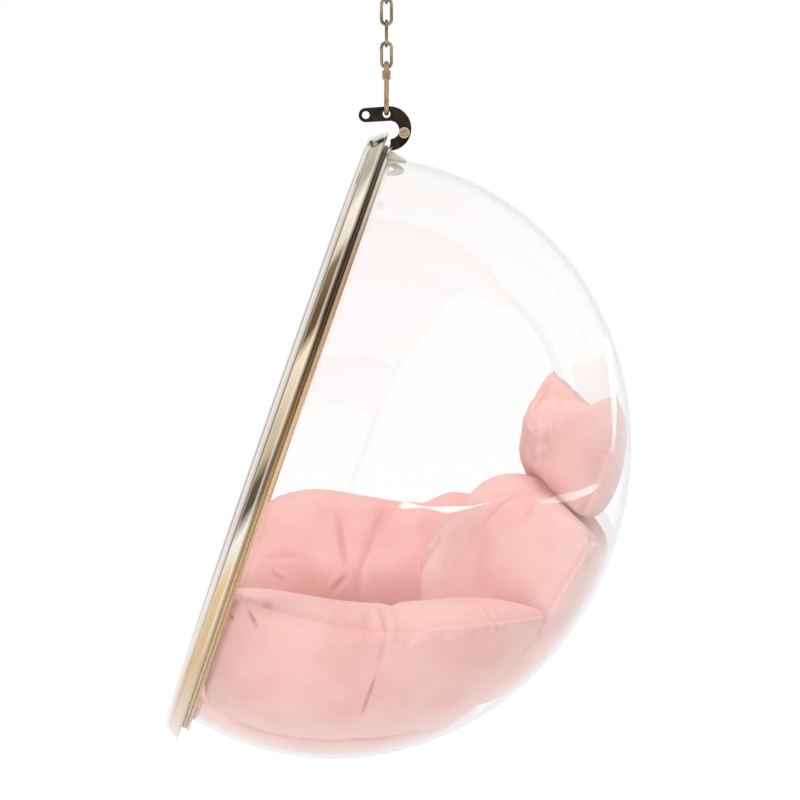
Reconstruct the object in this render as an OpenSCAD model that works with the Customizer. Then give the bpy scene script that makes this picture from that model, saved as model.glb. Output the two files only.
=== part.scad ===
// Hanging bubble chair: a clear domed shell clamped in a metal ring, hung by a
// hook plate, a screw-lock link and a short chain from a swivel ceiling plate,
// with a seat, two arm, one back and one head cushion inside it.
// Origin: centre of the ceiling plate's mounting face. +Z up, the opening faces -Y.

/* [Bubble] */
// Largest outside diameter of the clear shell
bubble_d = 1012; // [980:2:1040]
// Half depth of the full ellipsoid that the shell is cut from
bubble_half_depth = 473; // [450:1:500]
// Distance from the ring's back face to the shell's widest section
bubble_set_back = 111; // [100:1:125]
// Thickness of the shell's wall
shell_wall = 5; // [4:0.5:7]
// Thickness of the flat flange round the opening
flange_t = 5; // [4:0.5:7]
// Width of the flange outside the shell's neck
flange_w = 20; // [17:0.5:23]
// Angle at which the opening leans back as the chair hangs
tilt = 19.35; // [14:0.05:25]

/* [Rings] */
// Width of the front ring from its inner to its outer edge
ring_w = 47; // [44:0.5:52]
// Depth of the front ring from its back face to its crest
ring_depth = 29; // [25:0.5:34]
// Wall of the hollow front ring
ring_wall = 3.7; // [3:0.1:5]
// How far the front ring's inner edge stands outside the opening
ring_set_out = 1; // [0.5:0.5:3]
// Width of the clamp ring behind the flange
clamp_w = 19; // [17:0.5:21]
// Thickness of the clamp ring
clamp_t = 4.3; // [4:0.1:6]
// Hairline between the two halves of the clamp ring
clamp_split = 0.6; // [0.4:0.1:1]
// Thickness of each gasket
gasket_t = 1.5; // [1:0.25:3]
// Number of clamp screws
screw_count = 16; // [8:4:20]
// Diameter of a clamp screw
screw_d = 5; // [4:0.5:6]

/* [Hook] */
// Thickness of the hook plate
hook_t = 6; // [5:0.5:7]
// Width of the hook's straight arm at its end
hook_arm_w = 23.4; // [21:0.2:26]
// Distance between the hook's two holes
hook_hole_gap = 34.2; // [31:0.2:38]
// Drop of the end hole below the hanging hole
hook_hole_drop = 1.8; // [0:0.1:3]
// Diameter of the hanging hole and the end hole
hook_hole_d = 12.6; // [12.4:0.1:13.4]
// Outside radius of the hook's bend
hook_r_out = 36.4; // [35.4:0.1:37.4]
// Inside radius of the hook's bend
hook_r_in = 15; // [13.5:0.1:16]
// Angle from the hook's arm to the bubble's axis
hook_lean = 19.35; // [18.5:0.05:20]
// Height of the hanging hole above the front ring's outer edge
hook_rise = 27; // [26.6:0.1:28]
// How far the hanging hole lies in front of the ring's back face
hook_forward = 14; // [13.5:0.1:14.5]
// Height of the hook's bend above the hanging hole
hook_crown = 12.7; // [12.3:0.1:13]
// Height from the hanging hole down to the inside of the bend
hook_web = 11.2; // [10.8:0.1:11.8]
// How far the bend's outer round is centred behind the hanging hole
hook_back_out = 4.4; // [4:0.1:4.8]
// How far the bend's inner round is centred behind the hanging hole
hook_back_in = 5.7; // [5.3:0.1:6.1]
// Distance from the hanging hole back to the toe's front edge
hook_toe = 6.4; // [6:0.1:6.8]
// Distance from the hanging hole back to the bolt
bolt_back = 29; // [28.5:0.1:29.5]
// Drop of the bolt below the hanging hole
bolt_drop = 30.5; // [30:0.1:31]
// Diameter of the bolt through the hook and its lug
bolt_d = 8; // [7:0.5:9]
// Thickness of the lug behind the hook plate
lug_t = 6; // [5:0.5:8]
// Half width of the saddle under the hook's toe
saddle_half_w = 26; // [20:1:34]
// Drop of the saddle's top edge below the front ring's outer edge
saddle_drop = 27.8; // [27:0.1:29]

/* [Chain] */
// Wire diameter of a chain link
link_wire = 5.3; // [4.5:0.1:6]
// Outside length of a chain link
link_length = 45.8; // [42:0.2:52]
// Outside width of a chain link
link_width = 21.5; // [20.5:0.25:24]
// Wire diameter of the screw-lock link
quick_wire = 8; // [7:0.1:8.2]
// Outside length of the screw-lock link
quick_length = 89.1; // [84:0.1:96]
// Inside width of the screw-lock link
quick_inside = 12; // [11.5:0.25:14]
// Length of the screw-lock link's sleeve nut
sleeve_length = 15; // [13:0.5:17]
// Distance across the flats of the sleeve nut
sleeve_flats = 12; // [11:0.5:13]
// Opening in the side of the screw-lock link
quick_gap = 10; // [8:0.5:11]

/* [Ceiling swivel] */
// Diameter of the ceiling plate
plate_d = 110; // [100:2:140]
// Thickness of the ceiling plate
plate_t = 6; // [5:0.5:10]
// Diameter of the circle of mounting holes
plate_pcd = 84; // [76:1:88]
// Diameter of a mounting hole
plate_hole_d = 6.5; // [5:0.5:9]
// Number of mounting holes
plate_holes = 4; // [3:1:8]
// Outside diameter of the swivel housing
housing_d = 44; // [42:1:48]
// Height of the swivel housing below the plate
housing_h = 28; // [28:0.5:36]
// Diameter of the swivel shank
shank_d = 12; // [10:0.5:13]
// Wire diameter of the swivel eye
eye_wire = 8; // [7:0.25:9]
// Inside diameter of the swivel eye
eye_inside = 16; // [14:0.5:20]
// Thickness of one bearing race
race_t = 2.5; // [2:0.25:3]
// Diameter of a bearing ball
ball_d = 5; // [4:0.25:5.5]
// Number of bearing balls
ball_count = 12; // [8:1:12]
// Height of the swivel's lock nut
lock_nut_h = 8; // [6:0.5:9]

/* [Cushions] */
// Thickness of the seat cushion at its crown
seat_t = 135; // [115:1:145]
// Distance from the wall to the seat cushion's seam
seat_seam = 22; // [16:1:34]
// Thickness of an arm cushion at its crown
arm_t = 125; // [100:1:140]
// Distance from the wall to an arm cushion's seam
arm_seam = 14; // [10:1:30]
// Thickness of the back cushion near its foot
back_t_low = 300; // [240:2:310]
// Thickness of the back cushion near its top
back_t_high = 228; // [180:2:240]
// Distance from the wall to the back cushion's seam at its foot
back_seam_low = 51; // [40:1:60]
// Distance from the wall to the back cushion's seam at its top
back_seam_high = 10; // [8:1:20]
// Thickness of the head pillow at its crown
head_t = 160; // [130:1:170]
// Distance from the wall to the head pillow's seam at its foot
head_seam_low = 62; // [50:1:70]
// Distance from the wall to the head pillow's seam at its top
head_seam_high = 12; // [10:1:24]
// How much nearer one top corner of the head pillow lies to the wall
head_seam_skew = 8; // [0:1:8]
// How far the head pillow's foot stands off the wall
head_off = 28; // [10:1:34]
// Turn of the head pillow off the chair's middle
head_turn = -8.5; // [-12:0.5:-8]
// Turn of the back cushion off the chair's middle
back_turn = 0.6; // [-0.5:0.1:0.8]
// Depth of the sewn channel across an arm cushion
channel_depth = 10; // [4:1:16]
// Half width of the sewn channel
channel_w = 17; // [12:1:30]

/* [Clearances] */
// Gap between pieces that move on each other
joint_gap = 0.3; // [0.25:0.05:0.4]
// Gap between a soft piece and what it lies on
soft_gap = 0.3; // [0.3:0.1:0.6]
// Radial clearance of the sleeve nut and the swivel shank
run_gap = 0.06; // [0.04:0.01:0.09]
// Radial clearance of bolts and screws in their holes
bolt_gap = 0.2; // [0.1:0.05:0.3]

/* [Hidden] */
$fn = 96;

// The clear shell, in the bubble's own frame: y runs from the ring's back face to
// the pole, z points up along the ring, and r is the distance from the axis.
shell_r = bubble_d / 2;
shell_r_in = shell_r - shell_wall;
depth_in = bubble_half_depth - shell_wall;
flange_y0 = gasket_t;
flange_y1 = flange_y0 + flange_t;
clamp_y0 = flange_y1 + gasket_t;
clamp_y1 = clamp_y0 + clamp_t;
profile_steps = 56;

function outer_r(y) = shell_r * sqrt(1 - pow((bubble_set_back - y) / bubble_half_depth, 2));
function inner_r(y) = shell_r_in * sqrt(1 - pow((bubble_set_back - y) / depth_in, 2));
function dome(r, depth, y_start) =
    let (a0 = asin((y_start - bubble_set_back) / depth))
    [for (i = [0 : profile_steps])
        let (a = a0 + (90 - a0) * i / profile_steps)
        [r * cos(a), bubble_set_back + depth * sin(a)]];
function reversed(list) = [for (i = [len(list) - 1 : -1 : 0]) list[i]];

neck_r_in = inner_r(flange_y0);
neck_r_out = outer_r(flange_y1);
flange_r = neck_r_out + flange_w;
ring_r_in = neck_r_in + ring_set_out;
ring_r_out = ring_r_in + ring_w;
clamp_r_in = outer_r(clamp_y1) + 1.5;
clamp_r_out = clamp_r_in + clamp_w;
gasket_edge = 2;
gasket_r_out = min(flange_r, clamp_r_out) - gasket_edge;
screw_circle_r = clamp_r_in + clamp_w / 2;
screw_head_d = screw_d * 1.8;
screw_head_h = (screw_head_d - screw_d) / 2;
screw_bite = ring_wall + 3;

// Places along the chain, from the ceiling down, as heights of wire centres
housing_bottom = -plate_t - housing_h;
housing_wall = 6;
collar_h = 4;
collar_d = shank_d + 8;
eye_r = (eye_inside + eye_wire) / 2;
eye_sink = 1.5;
eye_z = housing_bottom - joint_gap - collar_h - eye_r - eye_wire / 2 + eye_sink;
eye_bottom = eye_z - eye_r;
link_bend_r = (link_width - link_wire) / 2;
link_span = link_length - link_wire;
quick_bend_r = (quick_inside + quick_wire) / 2;
quick_span = quick_length - quick_wire;
first_link_top = eye_bottom + (eye_wire + link_wire) / 2 + joint_gap;
link_step = link_span - link_wire - joint_gap;
function link_bottom(i) = first_link_top - link_span - i * link_step;
link_total = 5;
quick_top = link_bottom(link_total - 1) + (link_wire + quick_wire) / 2 + joint_gap;
quick_bottom = quick_top - quick_span;
hook_hole_r = hook_hole_d / 2;
// The plate's edge sits on the bend's inner curve, half the plate's thickness out
bend_rise = sqrt(pow(quick_inside / 2, 2) - pow(hook_t / 2, 2));
hang_z = quick_bottom + quick_bend_r - bend_rise + joint_gap - hook_hole_r;
sleeve_drop = 19;
sleeve_z = quick_top - sleeve_drop;
sleeve_x = quick_bend_r;

// The hanging hole in the bubble's frame, and where that puts the bubble
hang_local = [-hook_forward, ring_r_out + hook_rise];
chair_y = -(hang_local[0] * cos(tilt) + hang_local[1] * sin(tilt));
chair_z = hang_z + hang_local[0] * sin(tilt) - hang_local[1] * cos(tilt);

// The hook's outline, about the hanging hole: x runs back, y up
bend_out_c = [hook_back_out, hook_crown - hook_r_out];
bend_in_c = [hook_back_in, -hook_web - hook_r_in];
hook_end = [-hook_hole_gap, -hook_hole_drop];
bolt_at = [bolt_back, -bolt_drop];
bolt_flats = bolt_d * 1.625;
bolt_head_h = bolt_d * 0.66;
bolt_nut_h = bolt_d * 0.8;
washer_d = bolt_d * 2.25;
washer_t = 1.6;
lug_r_in = hook_r_in + 2.5;
lug_r_out = hook_r_out - 2.5;
lug_from_angle = -78;
lug_to_angle = 8;
foot_h = 7;
foot_d = 6;
foot_w = 20;
saddle_front_r = ring_r_out - saddle_drop;
saddle_length = 30;
saddle_steps = 10;

// Swivel bearing inside the housing
race_r_in = shank_d / 2 + 1;
race_r_out = housing_d / 2 - housing_wall - 0.5;
ball_circle_r = (race_r_in + race_r_out) / 2;
groove_depth = 0.6;
floor_z = housing_bottom + housing_wall;
ball_z = floor_z + race_t + ball_d / 2 - groove_depth + joint_gap / 2;
race_upper_z = ball_z + ball_d / 2 - groove_depth + joint_gap / 2;
nut_z = race_upper_z + race_t;
shank_top = nut_z + lock_nut_h + 1;

module bubble_frame() {
    translate([0, chair_y, chair_z])
        rotate([-tilt, 0, 0])
            children();
}

module revolve() {
    rotate([-90, 0, 0])
        rotate_extrude($fn = 180)
            children();
}

module hook_frame() {
    bubble_frame()
        translate([0, hang_local[0], hang_local[1]])
            rotate([hook_lean, 0, 0])
                children();
}

// A flat outline in the hook's plane, x back and y up, extruded along X
module plate_x(x0, x1) {
    translate([x0, 0, 0])
        rotate([90, 0, 90])
            linear_extrude(x1 - x0)
                children();
}

module bar_x(d, x0, x1, at) {
    translate([x0, at[0], at[1]])
        rotate([0, 90, 0])
            cylinder(d = d, h = x1 - x0);
}

module hex_x(flats, x0, x1, at) {
    translate([x0, at[0], at[1]])
        rotate([0, 90, 0])
            cylinder(d = flats / cos(30), h = x1 - x0, $fn = 6);
}

module ceiling_plate() {
    color("#c9b48a")
        difference() {
            union() {
                translate([0, 0, -plate_t])
                    cylinder(d = plate_d, h = plate_t);
                translate([0, 0, housing_bottom])
                    cylinder(d = housing_d, h = housing_h + plate_t / 2);
            }
            translate([0, 0, floor_z])
                cylinder(d = housing_d - 2 * housing_wall, h = plate_t - floor_z);
            translate([0, 0, housing_bottom - 1])
                cylinder(d = shank_d + 2 * run_gap, h = housing_wall + 2);
            for (i = [0 : plate_holes - 1])
                rotate([0, 0, 45 + i * 360 / plate_holes])
                    translate([plate_pcd / 2, 0, -plate_t - 1])
                        cylinder(d = plate_hole_d, h = plate_t + 2);
        }
}

module race(z, groove_z) {
    difference() {
        translate([0, 0, z])
            cylinder(r = race_r_out, h = race_t);
        translate([0, 0, z - 1])
            cylinder(r = race_r_in, h = race_t + 2);
        translate([0, 0, groove_z])
            rotate_extrude()
                translate([ball_circle_r, 0])
                    circle(d = ball_d + joint_gap, $fn = 48);
    }
}

module thrust_race_lower() {
    color("silver") race(floor_z, ball_z);
}

module thrust_race_upper() {
    color("silver") race(race_upper_z, ball_z);
}

module thrust_balls() {
    color("gainsboro")
        for (i = [0 : ball_count - 1])
            rotate([0, 0, i * 360 / ball_count])
                translate([ball_circle_r, 0, ball_z])
                    sphere(d = ball_d, $fn = 48);
}

module swivel_nut() {
    color("darkgoldenrod")
        difference() {
            translate([0, 0, nut_z])
                cylinder(d = shank_d * 1.8, h = lock_nut_h, $fn = 6);
            translate([0, 0, nut_z - 1])
                cylinder(d = shank_d, h = lock_nut_h + 2);
        }
}

module swivel_eye() {
    color("#b98f4e") {
        translate([0, 0, housing_bottom - joint_gap - collar_h])
            cylinder(d = collar_d, h = collar_h);
        translate([0, 0, housing_bottom - joint_gap])
            cylinder(d = shank_d, h = shank_top - housing_bottom + joint_gap);
        translate([0, 0, eye_z])
            rotate([90, 0, 0])
                rotate_extrude()
                    translate([eye_r, 0])
                        circle(d = eye_wire, $fn = 48);
    }
}

// A link in the YZ plane from its lower wire centre up, with round ends
module oval_link(wire, bend_r, span) {
    straight = span - 2 * bend_r;
    for (end = [0, 1])
        translate([0, 0, bend_r + end * straight])
            rotate([90, 0, 90])
                rotate([0, 0, end == 1 ? 0 : 180])
                    rotate_extrude(angle = 180)
                        translate([bend_r, 0])
                            circle(d = wire, $fn = 48);
    for (side = [-1, 1])
        translate([0, side * bend_r, bend_r])
            cylinder(d = wire, h = straight, $fn = 48);
}

// Links 1, 3 and 5 lie in the YZ plane, and links 2 and 4 across them
module chain_link(i) {
    color("#b08d57")
        translate([0, 0, link_bottom(i)])
            rotate([0, 0, 90 * (i % 2)])
                oval_link(link_wire, link_bend_r, link_span);
}

module quick_link() {
    color("#c08a5a")
        difference() {
            translate([0, 0, quick_bottom])
                rotate([0, 0, 90])
                    oval_link(quick_wire, quick_bend_r, quick_span);
            translate([sleeve_x, 0, sleeve_z])
                cube([quick_wire + 2, quick_wire + 2, quick_gap], center = true);
        }
}

module quick_link_nut() {
    color("#c79a63")
        difference() {
            translate([sleeve_x, 0, sleeve_z - sleeve_length / 2])
                rotate([0, 0, 30])
                    cylinder(d = sleeve_flats / cos(30), h = sleeve_length, $fn = 6);
            translate([sleeve_x, 0, sleeve_z - sleeve_length / 2 - 1])
                cylinder(d = quick_wire + 2 * run_gap, h = sleeve_length + 2);
        }
}

// The arm's lower edge runs from the end hole's round to the inside of the bend
function arm_low(x) =
    let (left = hook_end[1] - hook_arm_w / 2)
    let (right = bend_in_c[1] + hook_r_in)
    left + (right - left) * (x - hook_end[0]) / (bend_in_c[0] - hook_end[0]);
throat_x = bend_in_c[0] - 0.8;
// Longer than the hook plate, so that a cut runs right past it
past_hook = 90;

module hook_plate() {
    color("#2b2622")
        hook_frame()
            difference() {
                union() {
                    bar_x(2 * hook_r_out, -hook_t / 2, hook_t / 2, bend_out_c);
                    bar_x(hook_arm_w, -hook_t / 2, hook_t / 2, hook_end);
                    plate_x(-hook_t / 2, hook_t / 2)
                        polygon([
                            [hook_end[0], hook_end[1] + hook_arm_w / 2],
                            [bend_out_c[0] - 2, bend_out_c[1] + hook_r_out - 0.15],
                            [bend_out_c[0] - 2, bend_in_c[1]],
                            [hook_end[0], hook_end[1] - hook_arm_w / 4]]);
                }
                bar_x(2 * hook_r_in, -hook_t, hook_t, bend_in_c);
                plate_x(-hook_t, hook_t)
                    polygon([
                        [-past_hook, arm_low(-past_hook)],
                        [throat_x, arm_low(throat_x)],
                        [throat_x, bend_in_c[1]],
                        [hook_toe, bend_in_c[1]],
                        [hook_toe, -past_hook],
                        [-past_hook, -past_hook]]);
                // The toe stops just behind the clamp ring
                plate_x(-hook_t, hook_t)
                    rotate([0, 0, -hook_lean])
                        translate([hook_forward + clamp_y1 + joint_gap - past_hook, -past_hook])
                            square([past_hook, past_hook - hook_rise - ring_r_out + clamp_r_out + 0.5]);
                bar_x(hook_hole_d, -hook_t, hook_t, [0, 0]);
                bar_x(hook_hole_d, -hook_t, hook_t, hook_end);
                bar_x(bolt_d + 2 * bolt_gap, -hook_t, hook_t, bolt_at);
            }
}

lug_x1 = -hook_t / 2;
lug_x0 = lug_x1 - lug_t;
function ray(angle, length) = length * [cos(angle), sin(angle)];

// A ring sector from the toe to past the bolt, on a foot that sits on the clamp ring
module hook_lug() {
    color("#8c7a4f") {
        hook_frame()
            difference() {
                plate_x(lug_x0, lug_x1)
                    translate(bend_out_c)
                        intersection() {
                            difference() {
                                circle(r = lug_r_out, $fn = 180);
                                circle(r = lug_r_in, $fn = 120);
                            }
                            polygon([
                                [0, 0],
                                ray(lug_from_angle, 2 * hook_r_out),
                                ray((lug_from_angle + lug_to_angle) / 2, 3 * hook_r_out),
                                ray(lug_to_angle, 2 * hook_r_out)]);
                        }
                bar_x(bolt_d + 2 * bolt_gap, lug_x0 - 1, lug_x1 + 1, bolt_at);
            }
        bubble_frame()
            intersection() {
                revolve()
                    translate([clamp_r_out, clamp_y0])
                        square([foot_h, clamp_t + foot_d]);
                translate([lug_x1 - foot_w, 0, 0])
                    cube([foot_w, clamp_y1 + 2 * foot_d, clamp_r_out + 2 * foot_h]);
            }
    }
}

bolt_x1 = hook_t / 2 + washer_t;
bolt_x0 = lug_x0 - washer_t;

module hook_bolt() {
    color("#c9a866")
        hook_frame() {
            hex_x(bolt_flats, bolt_x1, bolt_x1 + bolt_head_h, bolt_at);
            bar_x(bolt_d, bolt_x0 - bolt_nut_h - 2, bolt_x1, bolt_at);
        }
}

module washer_x(x0) {
    difference() {
        bar_x(washer_d, x0, x0 + washer_t, bolt_at);
        bar_x(bolt_d + 2 * bolt_gap, x0 - 1, x0 + washer_t + 1, bolt_at);
    }
}

module hook_washers() {
    color("#d8c188")
        hook_frame() {
            washer_x(hook_t / 2);
            washer_x(bolt_x0);
        }
}

module hook_nut() {
    color("#c9a866")
        hook_frame()
            difference() {
                hex_x(bolt_flats, bolt_x0 - bolt_nut_h, bolt_x0, bolt_at);
                bar_x(bolt_d, bolt_x0 - bolt_nut_h - 1, bolt_x0 + 1, bolt_at);
            }
}

// A wedge with a domed top that fills the step between the shell and the hook's toe
function saddle_top(k) =
    let (y = clamp_y1 + saddle_length * k)
    [saddle_front_r - (saddle_front_r - outer_r(y) - 1) * pow(k, 2), y];
function saddle_base(k) =
    let (y = clamp_y1 + saddle_length * k)
    [outer_r(y) + soft_gap, y];

module hook_saddle() {
    color("#cfc4ae")
        bubble_frame()
            intersection() {
                revolve()
                    polygon(concat(
                        [for (i = [0 : saddle_steps]) saddle_base(i / saddle_steps)],
                        [for (i = [saddle_steps : -1 : 0]) saddle_top(i / saddle_steps)]));
                translate([-saddle_half_w, 0, 0])
                    cube([2 * saddle_half_w, 2 * saddle_length, 2 * ring_r_out]);
            }
}

module at_screws() {
    for (i = [0 : screw_count - 1])
        rotate([0, (i + 0.5) * 360 / screw_count, 0])
            translate([0, 0, screw_circle_r])
                rotate([-90, 0, 0])
                    children();
}

module screw_holes(y0, y1) {
    at_screws()
        translate([0, 0, y0])
            cylinder(d = screw_d + 2 * bolt_gap, h = y1 - y0, $fn = 32);
}

module bubble_shell() {
    color([0.9, 0.92, 0.93, 0.35])
        bubble_frame()
            difference() {
                revolve()
                    polygon(concat(
                        [[neck_r_in, flange_y0], [flange_r, flange_y0], [flange_r, flange_y1]],
                        dome(shell_r, bubble_half_depth, flange_y1),
                        reversed(dome(shell_r_in, depth_in, flange_y0))));
                screw_holes(flange_y0 - 1, flange_y1 + 1);
            }
}

// The front ring's section: a flat back, flared sides and a rounded crest. inset
// moves the whole outline inwards by the wall's thickness.
crest_r = 9.5;
flare_steps = 6;
crest_steps = 12;
crest_at = 0.53;
rim_t = 2.5;
rim_step = 1.5;
function ring_section(inset) =
    let (back = -inset)
    let (mid = ring_r_in + ring_w * crest_at)
    let (rc = crest_r - inset * 0.7)
    let (cy = -ring_depth + inset + rc)
    let (outer_edge = [ring_r_out - inset * 2.2, back])
    let (inner_edge = [ring_r_in + inset * 2.2, back])
    let (rim = [outer_edge[0], back - rim_t])
    let (flare = [outer_edge[0] - rim_step, back - rim_t])
    let (lead_out = [flare[0] - 2, back - ring_depth * 0.3])
    let (lead_in = [inner_edge[0] + 3, back - ring_depth * 0.22])
    concat(
        [inner_edge, outer_edge, rim, flare],
        [for (i = [1 : flare_steps - 1])
            bezier(flare, lead_out, [mid + rc, cy], i / flare_steps)],
        [for (i = [0 : crest_steps])
            let (a = -180 * i / crest_steps)
            [mid + rc * cos(a), cy + rc * sin(a)]],
        [for (i = [1 : flare_steps - 1])
            bezier([mid - rc, cy], lead_in, inner_edge, i / flare_steps)]);
function bezier(a, b, c, k) = a * pow(1 - k, 2) + b * 2 * k * (1 - k) + c * pow(k, 2);

module front_ring() {
    color("#cdb27c")
        bubble_frame()
            difference() {
                revolve()
                    polygon(ring_section(0));
                revolve()
                    polygon(ring_section(ring_wall));
                screw_holes(-ring_wall - 2, 1);
            }
}

module clamp_half(side) {
    bubble_frame()
        difference() {
            intersection() {
                revolve()
                    translate([clamp_r_in, clamp_y0])
                        square([clamp_w, clamp_t]);
                translate([-ring_r_out, 0, side > 0 ? clamp_split / 2 : -ring_r_out])
                    cube([2 * ring_r_out, clamp_y1 + 1, ring_r_out - clamp_split / 2]);
            }
            screw_holes(clamp_y0 - 1, clamp_y1 + 1);
            at_screws()
                translate([0, 0, clamp_y1 - screw_head_h])
                    cylinder(d1 = screw_d + 2 * bolt_gap, h = screw_head_h,
                             d2 = screw_head_d + 2 * bolt_gap, $fn = 32);
        }
}

module clamp_ring_upper() {
    color("#d9c9a3") clamp_half(1);
}

module clamp_ring_lower() {
    color("#d9c9a3") clamp_half(-1);
}

module gasket(y0) {
    bubble_frame()
        difference() {
            revolve()
                translate([clamp_r_in, y0])
                    square([gasket_r_out - clamp_r_in, gasket_t]);
            screw_holes(y0 - 1, y0 + gasket_t + 1);
        }
}

module gasket_front() {
    color("#9e9485") gasket(0);
}

module gasket_back() {
    color("#9e9485") gasket(flange_y1);
}

module ring_screws() {
    color("#c9a866")
        bubble_frame()
            at_screws() {
                translate([0, 0, -screw_bite])
                    cylinder(d = screw_d, h = clamp_y1 + screw_bite - screw_head_h, $fn = 32);
                translate([0, 0, clamp_y1 - screw_head_h])
                    cylinder(d1 = screw_d, d2 = screw_head_d, h = screw_head_h, $fn = 32);
            }
}

// Cushions, as directions from the bubble's middle. A cushion is bent onto the shell: u
// runs across it and v along it from -1 to 1, and depth is measured in from the wall.

// Distance from the bubble's middle to the inside of its wall, along direction d
function wall_at(d) =
    1 / sqrt((pow(d[0], 2) + pow(d[2], 2)) / pow(shell_r_in, 2) + pow(d[1], 2) / pow(depth_in, 2));
// A point that lies depth inside the wall, in the bubble's frame
function in_wall(d, depth) = [0, bubble_set_back, 0] + d * (wall_at(d) - soft_gap - depth);
// A level direction: turn from the back towards +X, and rise above the horizontal
function level(turn, rise) =
    let (w = [cos(rise) * sin(turn), cos(rise) * cos(turn), sin(rise)])
    [w[0], w[1] * cos(tilt) - w[2] * sin(tilt), w[1] * sin(tilt) + w[2] * cos(tilt)];
function mix(a, b, k) = a + (b - a) * k;
// How full a cushion is, from 0 at its seam to 1 at its crown
function fullness(u, v, power) = pow((1 - pow(abs(u), 4)) * (1 - pow(abs(v), 4)), power);
function ease(x, a, b) =
    let (t = min(max((x - a) / (b - a), 0), 1))
    t * t * (3 - 2 * t);
// Where two cushions meet, their shared edge climbs by this angle per shell radius
meeting_angle = 34;
function climb(depth) = meeting_angle * depth / shell_r_in;

// Closes two grids of points, one outside and one inside, along their shared border
module sewn_form(nu, nv, outside, inside) {
    // Rows lie closer together towards the seam
    function at(i, n) = sin(90 * (2 * i / n - 1));
    function outer_id(i, j) = i * (nv + 1) + j;
    function inner_id(i, j) =
        (i == 0 || j == 0 || i == nu || j == nv)
            ? outer_id(i, j)
            : (nu + 1) * (nv + 1) + (i - 1) * (nv - 1) + j - 1;
    function cell(a, b, c, d, straight) =
        straight ? [[a, b, c], [a, c, d]] : [[a, b, d], [b, c, d]];
    outer_points = [for (i = [0 : nu]) for (j = [0 : nv]) outside(at(i, nu), at(j, nv))];
    inner_points = [for (i = [1 : nu - 1]) for (j = [1 : nv - 1]) inside(at(i, nu), at(j, nv))];
    outer_faces = [for (i = [0 : nu - 1]) for (j = [0 : nv - 1])
        for (face = cell(outer_id(i, j), outer_id(i + 1, j), outer_id(i + 1, j + 1),
                         outer_id(i, j + 1), (2 * i < nu) == (2 * j < nv)))
            face];
    inner_faces = [for (i = [0 : nu - 1]) for (j = [0 : nv - 1])
        for (face = cell(inner_id(i, j), inner_id(i + 1, j), inner_id(i + 1, j + 1),
                         inner_id(i, j + 1), (2 * i < nu) == (2 * j < nv)))
            reversed(face)];
    bubble_frame()
        polyhedron(points = concat(outer_points, inner_points),
                   faces = concat(outer_faces, inner_faces), convexity = 8);
}

// Seat: a round cushion in the bottom of the shell, out over the ring's lip
seat_side_angle = 34;
seat_front_angle = -38;
seat_back_angle = 27;
seat_round_front = 0.25;
seat_round_back = 0.5;
function seat_dir(u, v) =
    let (k = v < 0 ? seat_round_front : seat_round_back)
    let (a = seat_side_angle * u * sqrt(1 - k * v * v))
    let (b = mix(seat_front_angle, seat_back_angle, 0.5 + 0.5 * v * sqrt(1 - k * u * u)))
    let (w = [sin(a), cos(a) * sin(b), -cos(a) * cos(b)])
    [w[0], w[1] * cos(tilt) - w[2] * sin(tilt), w[1] * sin(tilt) + w[2] * cos(tilt)];

module seat_cushion() {
    color("#f0bcb4")
        sewn_form(20, 20,
            function(u, v) in_wall(seat_dir(u, v), seat_seam * (1 - fullness(u, v, 0.25))),
            function(u, v) in_wall(seat_dir(u, v), mix(seat_seam, seat_t, fullness(u, v, 0.45))));
}

// Arms: long cushions along the shell from the ring to the back cushion. Each has its
// own edges: low edge, high edge, lift and drop towards the front, lift at the rear and
// the turn of the upper front corner.
arm_rear_angle = [49, 41.8];
arm_front_angle = 126;
arm_left_edges = [-55, -22, 7.5, 0, 0, 110];
arm_right_edges = [-49.7, -20.4, 6, -25, 3.6, 113];
arm_half_length = shell_r_in * (arm_front_angle - arm_rear_angle[0]) / 2 * PI / 180;
function arm_dir(u, v, edges) =
    let (k = 0.5 + 0.5 * v)
    let (rear = mix(arm_rear_angle[0], arm_rear_angle[1], k))
    let (turn = mix(rear, mix(arm_front_angle, edges[5], k), 0.5 + 0.5 * u))
    let (low = edges[0] + 12 * pow(max(u, 0), 3))
    let (front = edges[2] * pow(max(u, 0), 1.5) + edges[3] * pow(max(u - 0.5, 0), 2))
    let (rear_lift = edges[4] * ease(-u, 0.2, 0.45) - 2.6 * pow(max(-u, 0), 2))
    let (high = edges[1] + front + rear_lift)
    level(turn, mix(low, high, k));
function arm_channel(u, v) =
    channel_depth * exp(-pow(u * arm_half_length / channel_w, 2)) * fullness(u, v, 0.5);

module arm_cushion(edges) {
    color("#f0bcb4")
        sewn_form(24, 14,
            function(u, v) in_wall(arm_dir(u, v, edges),
                arm_seam * (1 - fullness(u, v, 0.2)) + arm_channel(u, v) / 4),
            function(u, v) in_wall(arm_dir(u, v, edges),
                mix(arm_seam, arm_t, fullness(u, v, 0.42)) - arm_channel(u, v)));
}

module arm_cushion_left() {
    arm_cushion(arm_left_edges);
}

module arm_cushion_right() {
    mirror([1, 0, 0])
        arm_cushion(arm_right_edges);
}

// Back: a thick cushion that leans on the shell's rear wall, narrower at its top
back_side_angle = 40.5;
back_narrow_angle = 10;
back_low_angle = -59.5;
back_high_angle = -17;
back_lift_angle = 8.8;
function back_dir(u, v, depth) =
    let (k = 0.5 + 0.5 * v)
    let (side = back_side_angle - back_narrow_angle * pow(k, 6))
    let (top = back_high_angle + back_lift_angle * pow(max(u - 0.25, 0), 1.5))
    level(back_turn + side * u, mix(back_low_angle, top, k) + climb(depth) * k * k);
function back_seam(v) = mix(back_seam_low, back_seam_high, 0.5 + 0.5 * v);
function back_crown(v) = mix(back_t_low, back_t_high, pow(0.5 + 0.5 * v, 0.6));

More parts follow.
